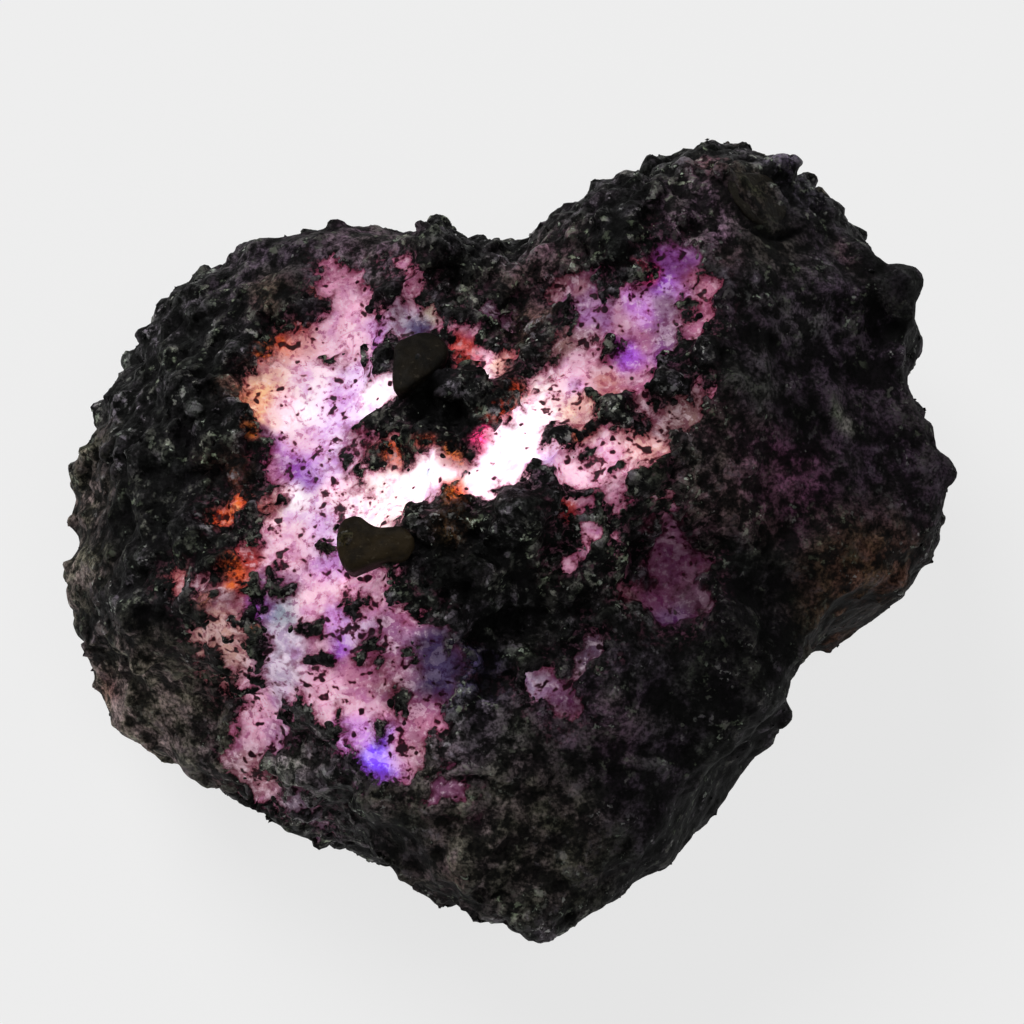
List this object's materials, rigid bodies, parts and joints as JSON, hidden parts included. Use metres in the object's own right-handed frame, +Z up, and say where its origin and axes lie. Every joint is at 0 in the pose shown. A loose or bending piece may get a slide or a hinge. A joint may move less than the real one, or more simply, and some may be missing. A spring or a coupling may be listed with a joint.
{
  "type": "rough sapphire",
  "caption": "Heart-shaped lump of rough sapphire in a dark knobbly rock crust, with pink and violet windows of bare crystal on top and one flat broken face to rest on.",
  "frame": {"origin": "middle of the footprint, on the surface that the stone rests on", "axes": "+Z up from the rest face, +X along the longest side, +Y from the blunt tip towards the notch between the two lobes"},
  "size_m": [0.0402, 0.037, 0.0191],
  "materials": {
    "crusted_sapphire": "rough dark rock crust with glassy pink and violet windows"
  },
  "bodies": {
    "root": {"rough_sapphire": "crusted_sapphire"}
  },
  "joints": []
}
